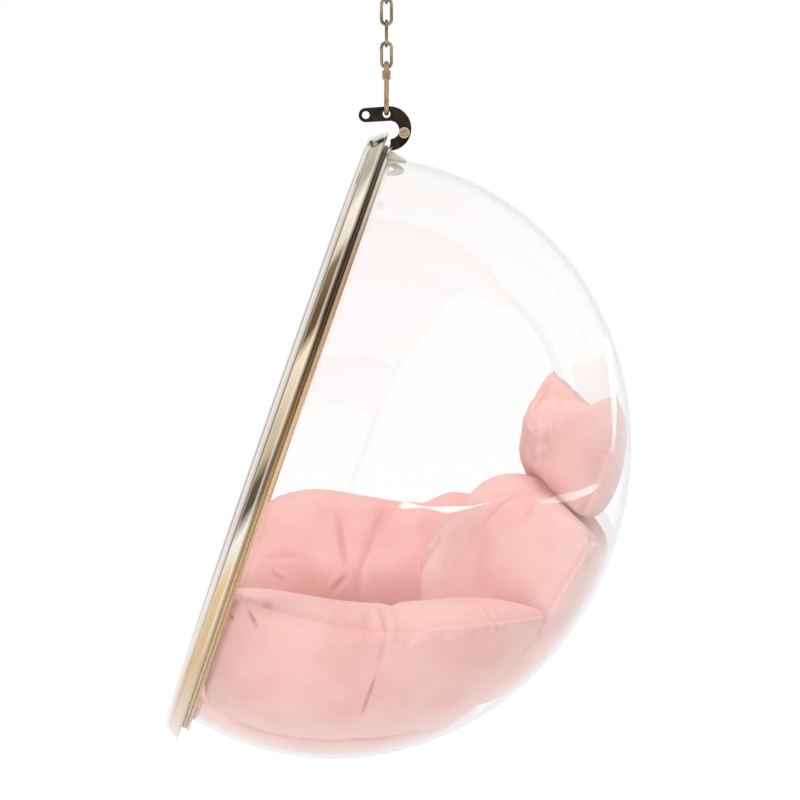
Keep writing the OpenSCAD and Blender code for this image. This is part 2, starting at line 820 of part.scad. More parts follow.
module back_cushion() {
    color("#efb9b1")
        sewn_form(20, 20,
            function(u, v)
                let (depth = back_seam(v) * (1 - fullness(u, v, 0.22)))
                in_wall(back_dir(u, v, depth), depth),
            function(u, v)
                let (depth = mix(back_seam(v), back_crown(v), fullness(u, v, 0.34)))
                in_wall(back_dir(u, v, depth), depth));
}

// Head pillow: eared corners and drawn-in edges, turned towards one side
head_side_angle = 27;
head_low_angle = -17.22;
head_high_angle = 15;
head_lift_angle = 2.8;
head_pull_side = 0.1;
head_pull_top = 0.52;
function head_dir(u, v, depth) =
    let (k = 0.5 + 0.5 * v)
    let (top = 0.5 + 0.5 * v * (1 - head_pull_top * (1 - u * u) * k))
    level(head_turn + head_side_angle * u * (1 - head_pull_side * (1 - v * v)),
          mix(head_low_angle + head_lift_angle * pow(max(u, 0), 2), head_high_angle + u, top)
              + climb(depth) * (1 - k));
function head_seam(u, v) =
    mix(head_seam_low, head_seam_high - head_seam_skew * u, 0.5 + 0.5 * v);

module head_pillow() {
    color("#f2c0b8")
        sewn_form(18, 16,
            function(u, v)
                let (foot = head_off * pow(0.5 - 0.5 * v, 1.5))
                let (depth = mix(head_seam(u, v), foot, fullness(u, v, 0.4)))
                in_wall(head_dir(u, v, depth), depth),
            function(u, v)
                let (depth = mix(head_seam(u, v), head_t, fullness(u, v, 0.44)))
                in_wall(head_dir(u, v, depth), depth));
}

ceiling_plate();
thrust_race_lower();
thrust_balls();
thrust_race_upper();
swivel_nut();
swivel_eye();
chain_link(0);  // chain_link_1
chain_link(1);  // chain_link_2
chain_link(2);  // chain_link_3
chain_link(3);  // chain_link_4
chain_link(4);  // chain_link_5
quick_link();
quick_link_nut();
hook_plate();
hook_lug();
hook_bolt();
hook_washers();
hook_nut();
hook_saddle();
bubble_shell();
front_ring();
clamp_ring_upper();
clamp_ring_lower();
gasket_front();
gasket_back();
ring_screws();
seat_cushion();
arm_cushion_left();
arm_cushion_right();
back_cushion();
head_pillow();
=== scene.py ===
"""Looks of the hanging bubble chair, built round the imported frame. Metres, +Z up, the mouth faces -Y."""
import math
from contextlib import contextmanager

import bmesh
import bpy
import numpy as np
from mathutils import Matrix, Vector
from mathutils.bvhtree import BVHTree
from mathutils.kdtree import KDTree


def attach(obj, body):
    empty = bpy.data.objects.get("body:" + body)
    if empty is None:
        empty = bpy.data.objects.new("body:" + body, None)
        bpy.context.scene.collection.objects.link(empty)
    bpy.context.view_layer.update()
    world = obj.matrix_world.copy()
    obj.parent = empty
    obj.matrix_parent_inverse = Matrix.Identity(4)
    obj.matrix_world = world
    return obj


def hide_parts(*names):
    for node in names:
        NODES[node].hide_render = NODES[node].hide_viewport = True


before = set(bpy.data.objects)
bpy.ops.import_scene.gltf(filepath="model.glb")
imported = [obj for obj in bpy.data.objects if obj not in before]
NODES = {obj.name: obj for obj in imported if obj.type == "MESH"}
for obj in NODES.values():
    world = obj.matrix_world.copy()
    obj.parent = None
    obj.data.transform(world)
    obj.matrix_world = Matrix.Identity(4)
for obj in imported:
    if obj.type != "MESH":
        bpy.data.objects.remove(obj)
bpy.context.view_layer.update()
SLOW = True

# Where the bubble hangs, and its shape, as the CAD has them
TILT = math.radians(19.35)
COS_TILT, SIN_TILT = math.cos(TILT), math.sin(TILT)
CHAIR = Vector((0.0, -0.173034, -0.848277))  # middle of the ring's back face
PLACE = Matrix.Translation(CHAIR) @ Matrix.Rotation(-TILT, 4, "X")
AXIS = Vector((0.0, COS_TILT, -SIN_TILT))  # from the mouth into the bubble
SET_BACK = 0.111  # from CHAIR to the bubble's middle
MIDDLE = np.array(PLACE @ Vector((0, SET_BACK, 0)))
SHELL_R, SHELL_DEPTH, WALL = 0.506, 0.473, 0.005
FLANGE_Y0, FLANGE_Y1, FLANGE_W = 0.0015, 0.0065, 0.020
RING_R_IN, RING_W, RING_DEPTH = 0.488094, 0.047, 0.029

# Camera, fitted to the photograph. The focal length and the picture's width are in its pixels.
AZIMUTH, ELEVATION, DISTANCE = math.radians(90.46), math.radians(8.5), 3.5
AIM = Vector((0.0, 0.0221, -0.7890))
FOCAL, PICTURE = 2085.0, 800.0
SENSOR = 36.0
TO_CAMERA = Vector((math.sin(AZIMUTH) * math.cos(ELEVATION),
                    -math.cos(AZIMUTH) * math.cos(ELEVATION), math.sin(ELEVATION)))
camera = bpy.data.objects.new("camera", bpy.data.cameras.new("camera"))
bpy.context.scene.collection.objects.link(camera)
camera.location = AIM + DISTANCE * TO_CAMERA
camera.rotation_euler = TO_CAMERA.to_track_quat("Z", "Y").to_euler()
camera.data.sensor_width = SENSOR
camera.data.lens = SENSOR * FOCAL / PICTURE
camera.data.clip_end = 60
bpy.context.scene.camera = camera
bpy.context.view_layer.update()
CAMERA_TURN = camera.matrix_world.to_3x3()


def sight(px, py):
    """The line of sight through a point of the picture, as start and direction."""
    ray = CAMERA_TURN @ Vector(((px - PICTURE / 2) / FOCAL, (PICTURE / 2 - py) / FOCAL, -1))
    return camera.location.copy(), ray.normalized()


# Meshes
SHARP = math.radians(32)  # edges that bend by more stay hard
ON_AXIS, SAME_POINT = 1e-9, 1e-6


def new_object(name, verts, faces, smooth=True):
    mesh = bpy.data.meshes.new(name)
    mesh.from_pydata([tuple(v) for v in verts], [], [tuple(f) for f in faces])
    mesh.validate()
    mesh.polygons.foreach_set("use_smooth", [smooth] * len(mesh.polygons))
    obj = bpy.data.objects.new(name, mesh)
    bpy.context.scene.collection.objects.link(obj)
    return obj


@contextmanager
def edited(mesh):
    """The mesh opened for editing, and written back at the end."""
    bm = bmesh.new()
    bm.from_mesh(mesh)
    yield bm
    bm.to_mesh(mesh)
    bm.free()


def hull_of(mesh):
    """The mesh's faces in a form that lines of sight can be sent at."""
    bm = bmesh.new()
    bm.from_mesh(mesh)
    hull = BVHTree.FromBMesh(bm)
    bm.free()
    return hull


def smooth_faces(mesh):
    mesh.polygons.foreach_set("use_smooth", [True] * len(mesh.polygons))


def revolve(name, profile, steps):
    """A closed profile of (r, y) points turned round the bubble's axis, set where the bubble hangs."""
    n = len(profile)
    turns = np.linspace(0, 2 * math.pi, steps, endpoint=False)
    verts = [(r * math.sin(a), y, r * math.cos(a)) for a in turns for r, y in profile]
    faces = []
    for i in range(steps):
        j = (i + 1) % steps
        for k in range(n):
            m = (k + 1) % n
            if profile[k][0] < ON_AXIS and profile[m][0] < ON_AXIS:
                continue
            faces.append((i * n + k, i * n + m, j * n + m, j * n + k))
    obj = new_object(name, verts, faces)
    with edited(obj.data) as bm:
        bmesh.ops.remove_doubles(bm, verts=bm.verts, dist=SAME_POINT)
        bmesh.ops.recalc_face_normals(bm, faces=bm.faces)
    obj.data.transform(PLACE)
    with edited(obj.data) as bm:
        for edge in bm.edges:
            edge.smooth = not (len(edge.link_faces) == 2 and edge.calc_face_angle(0) > SHARP)
        for face in bm.faces:
            face.smooth = True
    return obj


# Nodes of materials
WHITE = (1.0, 1.0, 1.0, 1.0)


def linear(r, g, b):
    """An sRGB colour from 0 to 255 as linear values."""
    return tuple((c / 255 / 12.92) if c / 255 <= 0.04045 else ((c / 255 + 0.055) / 1.055) ** 2.4
                 for c in (r, g, b)) + (1.0,)


def shades(stops):
    """Stops for a ramp, from places and colours of 0 to 255."""
    return [(place, linear(*colour)) for place, colour in stops]


def greys(stops):
    """Stops for a ramp, from places and linear greys."""
    return [(place, (grey, grey, grey, 1.0)) for place, grey in stops]


def material(name):
    mat = bpy.data.materials.new(name)
    mat.use_nodes = True
    nodes = mat.node_tree.nodes
    nodes.clear()
    out = nodes.new("ShaderNodeOutputMaterial")
    shader = nodes.new("ShaderNodeBsdfPrincipled")
    mat.node_tree.links.new(shader.outputs[0], out.inputs[0])
    return mat, mat.node_tree, shader, out


def put(tree, value, entry):
    """Feeds an input from another node's output, or sets it to a plain value."""
    if isinstance(value, bpy.types.NodeSocket):
        tree.links.new(value, entry)
    else:
        entry.default_value = value


def adjust(tree, node, **values):
    """Sets a node's properties and inputs by their names."""
    for key, value in values.items():
        if hasattr(node, key):
            setattr(node, key, value)
        else:
            put(tree, value, node.inputs[key.replace("_", " ")])
    return node


def add(tree, kind, **values):
    return adjust(tree, tree.nodes.new("ShaderNode" + kind), **values)


def ramp(tree, value, stops):
    """The colour at this value, between stops of place and colour in rising order."""
    node = add(tree, "ValToRGB")
    elements = node.color_ramp.elements
    elements[0].position, elements[0].color = stops[0]
    elements[1].position, elements[1].color = stops[-1]
    for place, colour in stops[1:-1]:
        elements.new(place).color = colour
    put(tree, value, node.inputs[0])
    return node.outputs[0]


def spread(tree, value, low, high, out_low=0.0, out_high=1.0):
    """Maps low to high onto out_low to out_high, and holds the value between those."""
    node = add(tree, "MapRange", Value=value, From_Min=low, From_Max=high,
               To_Min=out_low, To_Max=out_high)
    return node.outputs[0]


def combined(tree, operation, *terms):
    node = add(tree, "Math", operation=operation)
    for term, entry in zip(terms, node.inputs):
        put(tree, term, entry)
    return node.outputs[0]


def mixed(tree, factor, first, second, blend_type="MIX"):
    """From the first colour to the second, or with MULTIPLY to their product, as the factor grows."""
    node = add(tree, "Mix", data_type="RGBA", blend_type=blend_type, Factor=factor, A=first, B=second)
    return node.outputs["Result"]


def blended(tree, factor, first, second):
    """A surface that goes from the first shader to the second."""
    node = add(tree, "MixShader")
    for value, entry in zip((factor, first, second), node.inputs):
        put(tree, value, entry)
    return node.outputs[0]


def rays(tree, *kinds):
    """1 for rays of these kinds, 0 for others."""
    path = add(tree, "LightPath")
    seen = path.outputs[f"Is {kinds[0]} Ray"]
    for kind in kinds[1:]:
        seen = combined(tree, "MAXIMUM", seen, path.outputs[f"Is {kind} Ray"])
    return seen


def position(tree):
    """The point on the piece as the CAD has it, and that point's height."""
    where = add(tree, "TexCoord").outputs["Object"]
    return where, add(tree, "SeparateXYZ", Vector=where).outputs["Z"]


# Metal and rubber. Heights are in metres, and painted light and shade by height are stated for heights
# between these two.
TINT_FOOT, TINT_TOP = -1.4, -0.3


def metal(name, light, dark, rough, grain, bump, patch):
    """Plated or polished metal with faint tint patches, fine scratches and uneven polish."""
    mat, tree, shader, _ = material(name)
    where = add(tree, "TexCoord").outputs["Object"]
    patches = add(tree, "TexNoise", Vector=where, Scale=patch, Detail=5.0, Roughness=0.6)
    tint = ramp(tree, patches.outputs["Fac"], shades([(0.35, dark), (0.62, light)]))
    scratches = add(tree, "TexNoise", Vector=where, Scale=grain, Detail=3.0, Roughness=0.7)
    polish = spread(tree, scratches.outputs["Fac"], 0.0, 1.0, *rough)
    dents = add(tree, "Bump", Strength=bump, Distance=0.001, Height=scratches.outputs["Fac"])
    adjust(tree, shader, Base_Color=tint, Roughness=polish, Normal=dents.outputs[0], Metallic=1.0)
    return mat


def painted_light_by_height(tree, height, stops, shift=0.0):
    """Painted light and shade by height, from stops of height and colour, all lowered by shift."""
    place = spread(tree, height, TINT_FOOT, TINT_TOP)
    span = TINT_TOP - TINT_FOOT
    return ramp(tree, place, shades([((z - TINT_FOOT - shift) / span, c) for z, c in stops]))


def multiplied(mat, tint):
    """Multiplies a material's base colour by a tint."""
    tree = mat.node_tree
    shader = next(node for node in tree.nodes if node.type == "BSDF_PRINCIPLED")
    base = shader.inputs["Base Color"].links[0].from_socket
    adjust(tree, shader, Base_Color=mixed(tree, 1.0, base, tint, "MULTIPLY"))
    return mat


def with_painted_light_by_height(mat, stops):
    """Paints light and shade onto a metal or rubber by height."""
    _, height = position(mat.node_tree)
    return multiplied(mat, painted_light_by_height(mat.node_tree, height, stops))


# The ring's bands are painted reflections of the room, laid into its colour. Places across it run from
# 0 at its front to 1 at its back. The flank's painted reflections lie at their stated heights where the
# place is FLANK_AT, and the slant lifts them towards the back.
CREST_REFLECTIONS = [(0.0, (228, 224, 216)), (0.06, (222, 218, 212)), (0.09, (128, 122, 114)),
         (0.12, (238, 234, 230)), (0.24, (232, 226, 220)), (0.34, (206, 196, 184)),
         (0.40, (122, 104, 86)), (0.45, (250, 246, 240)), (0.84, (255, 255, 255)),
         (0.97, (176, 156, 124))]
FLANK_SHARE = [(0.36, 0.0), (0.50, 1.0), (0.78, 1.0), (0.87, 0.35), (0.96, 0.8)]
FOOT_SHARE = [(0.05, 0.0), (0.42, 1.0)]
FLANK_REFLECTIONS = [(-1.28, (224, 213, 200)), (-1.1, (218, 188, 144)), (-0.98, (230, 203, 155)),
         (-0.905, (255, 251, 242)), (-0.86, (94, 82, 60)), (-0.82, (100, 88, 70)),
         (-0.775, (206, 190, 158)), (-0.73, (216, 202, 172)), (-0.645, (248, 234, 204)),
         (-0.61, (112, 86, 54)), (-0.58, (108, 84, 54)), (-0.515, (140, 118, 88)),
         (-0.49, (242, 232, 216)), (-0.435, (253, 250, 243)), (-0.395, (190, 174, 148)),
         (-0.35, (178, 168, 152))]
FLANK_AT, SLANT = 0.75, 0.08
FOOT_STARTS, FOOT_FULL = -1.0, -1.12  # heights between which the flank's painted reflections spread to the ring's front
# heights between which the painted crest lines fade, and the share they keep at their faintest
LINES_FAINT, LINES_FULL, FAINTEST = -1.15, -0.9, 0.25


def painted_reflection_bands(mat):
    """Paints onto the polished ring, as painted reflections in its colour, the bands that a rolled profile
    mirrors: fine lines along its crest, and behind them a flank that changes with the height."""
    tree = mat.node_tree
    where, height = position(tree)
    from_chair = add(tree, "VectorMath", operation="SUBTRACT")
    put(tree, where, from_chair.inputs[0])
    put(tree, CHAIR, from_chair.inputs[1])
    along = add(tree, "VectorMath", operation="DOT_PRODUCT")
    put(tree, from_chair.outputs[0], along.inputs[0])
    put(tree, AXIS, along.inputs[1])
    across = spread(tree, along.outputs["Value"], -RING_DEPTH, 0.0)
    # painted reflections: light and dark lines along the crest
    lines = ramp(tree, across, shades(CREST_REFLECTIONS))
    foot = combined(tree, "MULTIPLY", spread(tree, height, FOOT_STARTS, FOOT_FULL),
                    ramp(tree, across, greys(FOOT_SHARE)))
    flank = combined(tree, "MAXIMUM", ramp(tree, across, greys(FLANK_SHARE)), foot)
    slanted = combined(tree, "MULTIPLY_ADD", across, -SLANT, height)
    # painted reflections on the flank, changing with the height
    flank_reflections = painted_light_by_height(tree, slanted, FLANK_REFLECTIONS, shift=SLANT * FLANK_AT)
    faint = spread(tree, height, LINES_FAINT, LINES_FULL, FAINTEST)
    return multiplied(mat, mixed(tree, faint, mixed(tree, flank, WHITE, flank_reflections), lines, "MULTIPLY"))


def matte_rubber():
    mat, tree, shader, _ = material("gasket_rubber")
    grain = add(tree, "TexNoise", Scale=420.0).outputs[0]
    shade = ramp(tree, grain, shades([(0.3, (226, 220, 212)), (0.7, (255, 255, 255))]))
    adjust(tree, shader, Base_Color=shade, Roughness=0.42)
    # painted shade towards the top and painted highlight towards the bottom
    return with_painted_light_by_height(mat, [(-1.35, (250, 238, 218)), (-1.0, (246, 218, 178)), (-0.85, (232, 194, 144)),
                        (-0.74, (182, 144, 104)), (-0.62, (104, 78, 52)), (-0.38, (54, 44, 30))])


def dress(node, mat):
    obj = NODES[node]
    obj.data.materials.clear()
    obj.data.materials.append(mat)
    obj.data.polygons.foreach_set("material_index", [0] * len(obj.data.polygons))


gold_ring = painted_reflection_bands(metal("ring_gold", (255, 255, 255), (246, 243, 238),
                         rough=(0.08, 0.16), grain=160, bump=0.008, patch=5))
gold_clamp = with_painted_light_by_height(metal("clamp_gold", (255, 255, 255), (240, 234, 224),
                          rough=(0.16, 0.30), grain=200, bump=0.02, patch=7),
                    # painted reflections, lighter and darker by height
                    [(-1.35, (216, 190, 160)), (-1.0, (206, 172, 134)), (-0.85, (240, 212, 176)),
                     (-0.72, (222, 188, 150)), (-0.62, (198, 172, 142)), (-0.5, (186, 166, 142)),
                     (-0.38, (228, 216, 202))])
bronze = metal("link_bronze", (176, 160, 134), (122, 100, 72),
               rough=(0.16, 0.34), grain=420, bump=0.05, patch=60)
copper = metal("link_copper", (180, 158, 130), (140, 106, 72),
               rough=(0.16, 0.32), grain=420, bump=0.05, patch=50)
# A near-black colour on the hook's polished plate: a painted reflection of dark surroundings.
hook_dark_reflection = metal("hook_painted_dark", (56, 49, 40), (28, 24, 18),
              rough=(0.10, 0.24), grain=260, bump=0.03, patch=40)
fastener = metal("bolt_gold", (196, 178, 142), (140, 118, 82),
                 rough=(0.18, 0.36), grain=500, bump=0.04, patch=90)
saddle = metal("saddle_silver", (222, 214, 198), (188, 178, 160),
               rough=(0.22, 0.38), grain=260, bump=0.03, patch=30)
swivel_gold = metal("swivel_gold", (214, 190, 146), (182, 152, 106),
                    rough=(0.2, 0.38), grain=300, bump=0.04, patch=25)
steel = metal("bearing_steel", (205, 205, 205), (170, 170, 172),
              rough=(0.15, 0.3), grain=400, bump=0.02, patch=60)
rubber = matte_rubber()

for mat, names in (
        (swivel_gold, ("ceiling_plate", "swivel_eye", "swivel_nut")),
        (steel, ("thrust_race_lower", "thrust_balls", "thrust_race_upper")),
        (bronze, [f"chain_link_{i}" for i in range(1, 6)]),
        (copper, ("quick_link", "quick_link_nut")),
        (hook_dark_reflection, ("hook_plate", "hook_lug")),
        (fastener, ("hook_bolt", "hook_nut", "ring_screws")),
        (saddle, ("hook_washers", "hook_saddle")),
        (gold_clamp, ("clamp_ring_upper", "clamp_ring_lower")),
        (rubber, ("gasket_front", "gasket_back"))):
    for name in names:
        dress(name, mat)
for name in NODES:
    smooth_faces(NODES[name].data)

# Clear shell
DOME_STEPS, SHELL_STEPS = 90, 256
BREAK = 0.0008  # taken off the rim's edges
ON_RIM = 0.0006  # faces whose middles lie nearer to the rim than this belong to it
CLEAR_FOOT, CLEAR_TOP = -0.58, -0.36  # heights between which the plastic's tint deepens


def clear_plastic():
    """Clear acrylic. Light from lamps goes straight through it, so what is inside is lit."""
    mat, tree, shader, out = material("clear_acrylic")
    where, height = position(tree)
    smears = add(tree, "TexNoise", Vector=where, Scale=3.5, Detail=6.0, Roughness=0.62)
    polish = spread(tree, smears.outputs["Fac"], 0.45, 0.8, 0.0, 0.03)
    tint = ramp(tree, spread(tree, height, CLEAR_FOOT, CLEAR_TOP),
                [(0.0, (0.996, 0.994, 0.99, 1)), (1.0, (0.965, 0.952, 0.94, 1))])
    adjust(tree, shader, Base_Color=tint, Roughness=polish, Transmission_Weight=1.0, IOR=1.49)
    through = add(tree, "BsdfTransparent")
    surface = blended(tree, rays(tree, "Shadow", "Diffuse"), shader.outputs[0], through.outputs[0])
    put(tree, surface, out.inputs[0])
    return mat


def section(r, depth, y0):
    """Half of the dome's section, from the flange's plane y0 back to the axis."""
    first = math.asin((y0 - SET_BACK) / depth)
    points = [(r * math.cos(a), SET_BACK + depth * math.sin(a))
              for a in np.linspace(first, math.pi / 2, DOME_STEPS)]
    return points[:-1] + [(0.0, points[-1][1])]


outer = section(SHELL_R, SHELL_DEPTH, FLANGE_Y1)
inner = section(SHELL_R - WALL, SHELL_DEPTH - WALL, FLANGE_Y0)
flange_r = outer[0][0] + FLANGE_W
rim = [(inner[0][0], FLANGE_Y0), (flange_r - BREAK, FLANGE_Y0), (flange_r, FLANGE_Y0 + BREAK),
       (flange_r, FLANGE_Y1 - BREAK), (flange_r - BREAK, FLANGE_Y1)]
shell = revolve("clear_shell", rim + outer + inner[:0:-1], SHELL_STEPS)
shell.data.materials.append(clear_plastic())
shell.data.materials.append(rubber)
# The clear flange's rim gets the rubber: painted dark in place of the dark that its clear edge shows.
for face in shell.data.polygons:
    off = face.center - CHAIR
    if (off - off.dot(AXIS) * AXIS).length > flange_r - ON_RIM:
        face.material_index = 1
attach(shell, "chair")
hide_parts("bubble_shell")

# Front ring
CREST_AT, CREST_R = 0.53, 0.0095  # the crest's place across the ring, and how round it is
EDGE_T, EDGE_BREAK, EDGE_STEP = 0.0025, 0.0004, 0.0015  # the thin edge at the ring's outside
HOLLOW_STEPS, CREST_STEPS, RING_STEPS = 14, 26, 360


def bezier(a, b, c, k):
    a, b, c = np.array(a), np.array(b), np.array(c)
    return tuple(a * (1 - k) ** 2 + b * 2 * k * (1 - k) + c * k ** 2)


def ring_profile():
    """From the inner edge along the back to the thin outer edge, by the hollow flank to the round
    crest in front, and by the hollow inside back."""
    r_out = RING_R_IN + RING_W
    crest = RING_R_IN + RING_W * CREST_AT
    crest_y = -RING_DEPTH + CREST_R
    flare = (r_out - EDGE_STEP, -EDGE_T)
    lead_out = (flare[0] - 0.002, -RING_DEPTH * 0.3)
    lead_in = (RING_R_IN + 0.003, -RING_DEPTH * 0.22)
    hollow = [i / HOLLOW_STEPS for i in range(1, HOLLOW_STEPS)]
    turns = [-math.pi * i / CREST_STEPS for i in range(CREST_STEPS + 1)]
    return ([(RING_R_IN, 0.0), (r_out - EDGE_BREAK, 0.0), (r_out, -EDGE_BREAK),
             (r_out, EDGE_BREAK - EDGE_T), (r_out - EDGE_BREAK, -EDGE_T), flare]
            + [bezier(flare, lead_out, (crest + CREST_R, crest_y), k) for k in hollow]
            + [(crest + CREST_R * math.cos(a), crest_y + CREST_R * math.sin(a)) for a in turns]
            + [bezier((crest - CREST_R, crest_y), lead_in, (RING_R_IN, 0.0), k) for k in hollow])


ring = revolve("front_ring_skin", ring_profile(), RING_STEPS)
ring.data.materials.append(gold_ring)
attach(ring, "chair")
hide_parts("front_ring")

# Cushions. Each is drawn by directions from the bubble's middle, in degrees, and by depths in from its
# wall. Both u and v run from -1 to 1: u towards +X, on an arm cushion towards its front, and v from the
# lower edge up, on the seat from its front back.
GAP, CLOTH_GAP = 0.0006, 0.0008  # kept from the wall when a cushion is drawn, and when it is moved
CLIMB = 34.0  # for a depth as great as the bubble's radius
GROOVE_W, GROOVE_BEHIND = 0.05, 0.25  # an arm cushion's channel: width in u, and its depth's share behind


def level(turn, rise):
    """Unit directions in the row frame: turn from +Y towards +X and rise, in degrees."""
    t, r = np.radians(turn), np.radians(rise)
    return np.stack([np.cos(r) * np.sin(t), np.cos(r) * np.cos(t), np.sin(r)], -1)


def to_wall(w):
    """Distance from the bubble's middle to the inside of its wall along w."""
    y = w[..., 1] * COS_TILT - w[..., 2] * SIN_TILT
    z = w[..., 1] * SIN_TILT + w[..., 2] * COS_TILT
    r, d = SHELL_R - WALL, SHELL_DEPTH - WALL
    return 1 / np.sqrt((w[..., 0] ** 2 + z ** 2) / r ** 2 + y ** 2 / d ** 2)


def in_wall(w, depth):
    """The point that lies in the direction w, this deep inside the wall."""
    return MIDDLE + w * (to_wall(w) - GAP - depth)[..., None]


def mix(a, b, k):
    return a + (b - a) * k


def fullness(u, v, power):
    """0 along the seam, 1 in the middle."""
    return np.clip((1 - np.abs(u) ** 4) * (1 - np.abs(v) ** 4), 0, 1) ** power


def ease(x, a, b):
    t = np.clip((x - a) / (b - a), 0, 1)
    return t * t * (3 - 2 * t)


def climb(depth):
    """Where two cushions meet, their shared edge climbs inwards by this angle."""
    return CLIMB * depth / (SHELL_R - WALL)


def seat_direction(u, v, depth):
    side, front, back = 34.0, -38.0, 27.0
    narrowing = np.where(v < 0, 0.25, 0.5)
    a = np.radians(side * u * np.sqrt(1 - narrowing * v * v))
    b = np.radians(mix(front, back, 0.5 + 0.5 * v * np.sqrt(1 - narrowing * u * u)))
    return np.stack([np.sin(a), np.cos(a) * np.sin(b), -np.cos(a) * np.cos(b)], -1)


def arm_direction(low_at, high_at, lift, drop, rear, front):
    """Edges: low, high, lift and drop towards the front, lift at the rear, upper front turn."""
    rear_low, rear_high, front_low = 49.0, 41.8, 126.0
    low_lift, rear_dip = 12, 2.6

    def direction(u, v, depth):
        k = 0.5 + 0.5 * v
        turn = mix(mix(rear_low, rear_high, k), mix(front_low, front, k), 0.5 + 0.5 * u)
        low = low_at + low_lift * np.maximum(u, 0) ** 3
        high = (high_at + lift * np.maximum(u, 0) ** 1.5 + drop * np.maximum(u - 0.5, 0) ** 2
                + rear * ease(-u, 0.2, 0.45) - rear_dip * np.maximum(-u, 0) ** 2)
        return level(turn, mix(low, high, k))
    return direction


def back_direction(u, v, depth):
    middle, side, narrowing = 0.6, 40.5, 10
    low, high, left_lift = -59.5, -17.0, 8.8
    k = 0.5 + 0.5 * v
    top = high + left_lift * np.maximum(u - 0.25, 0) ** 1.5
    return level(middle + (side - narrowing * k ** 6) * u, mix(low, top, k) + climb(depth) * k * k)


def head_direction(u, v, depth):
    middle, side, waist = -8.5, 27, 0.1
    low_at, left_lift, top, sag = -17.22, 2.8, 15.0, 0.52
    k = 0.5 + 0.5 * v
    low = low_at + left_lift * np.maximum(u, 0) ** 2
    return level(middle + side * u * (1 - waist * (1 - v * v)),
                 mix(low, top + u, 0.5 + 0.5 * v * (1 - sag * (1 - u * u) * k))
                 + climb(depth) * (1 - k))


def pad(direction, seam, crown, wall_power, crown_power, groove=0.0, foot=0.0):
    """A cushion's outside and inside as functions of u and v, from its seam and crown depths."""
    def grooved(u, v):
        return groove * np.exp(-(u / GROOVE_W) ** 2) * fullness(u, v, 0.5)

    def outside(u, v):
        off = foot * (0.5 - 0.5 * v) ** 1.5
        depth = mix(seam(u, v), off, fullness(u, v, wall_power)) + GROOVE_BEHIND * grooved(u, v)
        return in_wall(direction(u, v, depth), depth)

    def inside(u, v):
        depth = mix(seam(u, v), crown(u, v), fullness(u, v, crown_power)) - grooved(u, v)
        return in_wall(direction(u, v, depth), depth)
    return outside, inside


def other_side(form):
    return tuple(lambda u, v, f=f: f(u, v) * np.array([-1.0, 1.0, 1.0]) for f in form)


def even(depth):
    return lambda u, v: depth + 0 * v


SOFT = {
    "seat_cushion": pad(seat_direction, seam=even(0.022), crown=even(0.133),
                        wall_power=0.25, crown_power=0.45),
    "arm_cushion_left": pad(
        arm_direction(low_at=-55, high_at=-22, lift=7.5, drop=0, rear=0, front=110),
        seam=even(0.014), crown=even(0.122), wall_power=0.20, crown_power=0.42, groove=0.010),
    "arm_cushion_right": other_side(pad(
        arm_direction(low_at=-49.7, high_at=-20.4, lift=6, drop=-25, rear=3.6, front=113),
        seam=even(0.014), crown=even(0.122), wall_power=0.20, crown_power=0.42, groove=0.010)),
    "back_cushion": pad(
        back_direction, seam=lambda u, v: mix(0.051, 0.010, 0.5 + 0.5 * v),
        crown=lambda u, v: mix(0.297, 0.225, (0.5 + 0.5 * v) ** 0.6),
        wall_power=0.22, crown_power=0.34),
    "head_pillow": pad(
        head_direction, seam=lambda u, v: mix(0.062, 0.012 - 0.008 * u, 0.5 + 0.5 * v),
        crown=even(0.156), wall_power=0.4, crown_power=0.44, foot=0.028),
}


def sewn(name, outside, inside, nu, nv):
    """Two grids of points closed along their shared border, which is the seam."""
    def closer(n):
        """Places from -1 to 1 that lie closer together towards both ends."""
        t = np.linspace(-1, 1, n + 1)
        return 0.5 * t + 0.5 * np.sin(np.pi / 2 * t)
    u, v = np.meshgrid(closer(nu), closer(nv), indexing="ij")
    out, ins = outside(u, v), inside(u, v)
    verts = list(out.reshape(-1, 3))
    outer_at = np.arange((nu + 1) * (nv + 1)).reshape(nu + 1, nv + 1)
    inner_at = outer_at.copy()
    for i in range(1, nu):
        for j in range(1, nv):
            inner_at[i, j] = len(verts)
            verts.append(ins[i, j])
    faces = []
    for i in range(nu):
        for j in range(nv):
            faces.append((outer_at[i, j], outer_at[i + 1, j], outer_at[i + 1, j + 1],
                          outer_at[i, j + 1]))
            faces.append((inner_at[i, j], inner_at[i, j + 1], inner_at[i + 1, j + 1],
                          inner_at[i + 1, j]))
    obj = new_object(name, verts, faces)
    with edited(obj.data) as bm:
        bmesh.ops.recalc_face_normals(bm, faces=bm.faces)
    seam = np.concatenate([out[:, 0], out[-1, :], out[::-1, -1], out[0, ::-1]])
    return obj, seam


# Cotton
# The last colour is the painted shade that seams and creases get.
COTTON_LIGHT, COTTON_DEEP, COTTON_PAINTED_SHADE = (242, 190, 183), (236, 174, 167), (186, 92, 88)


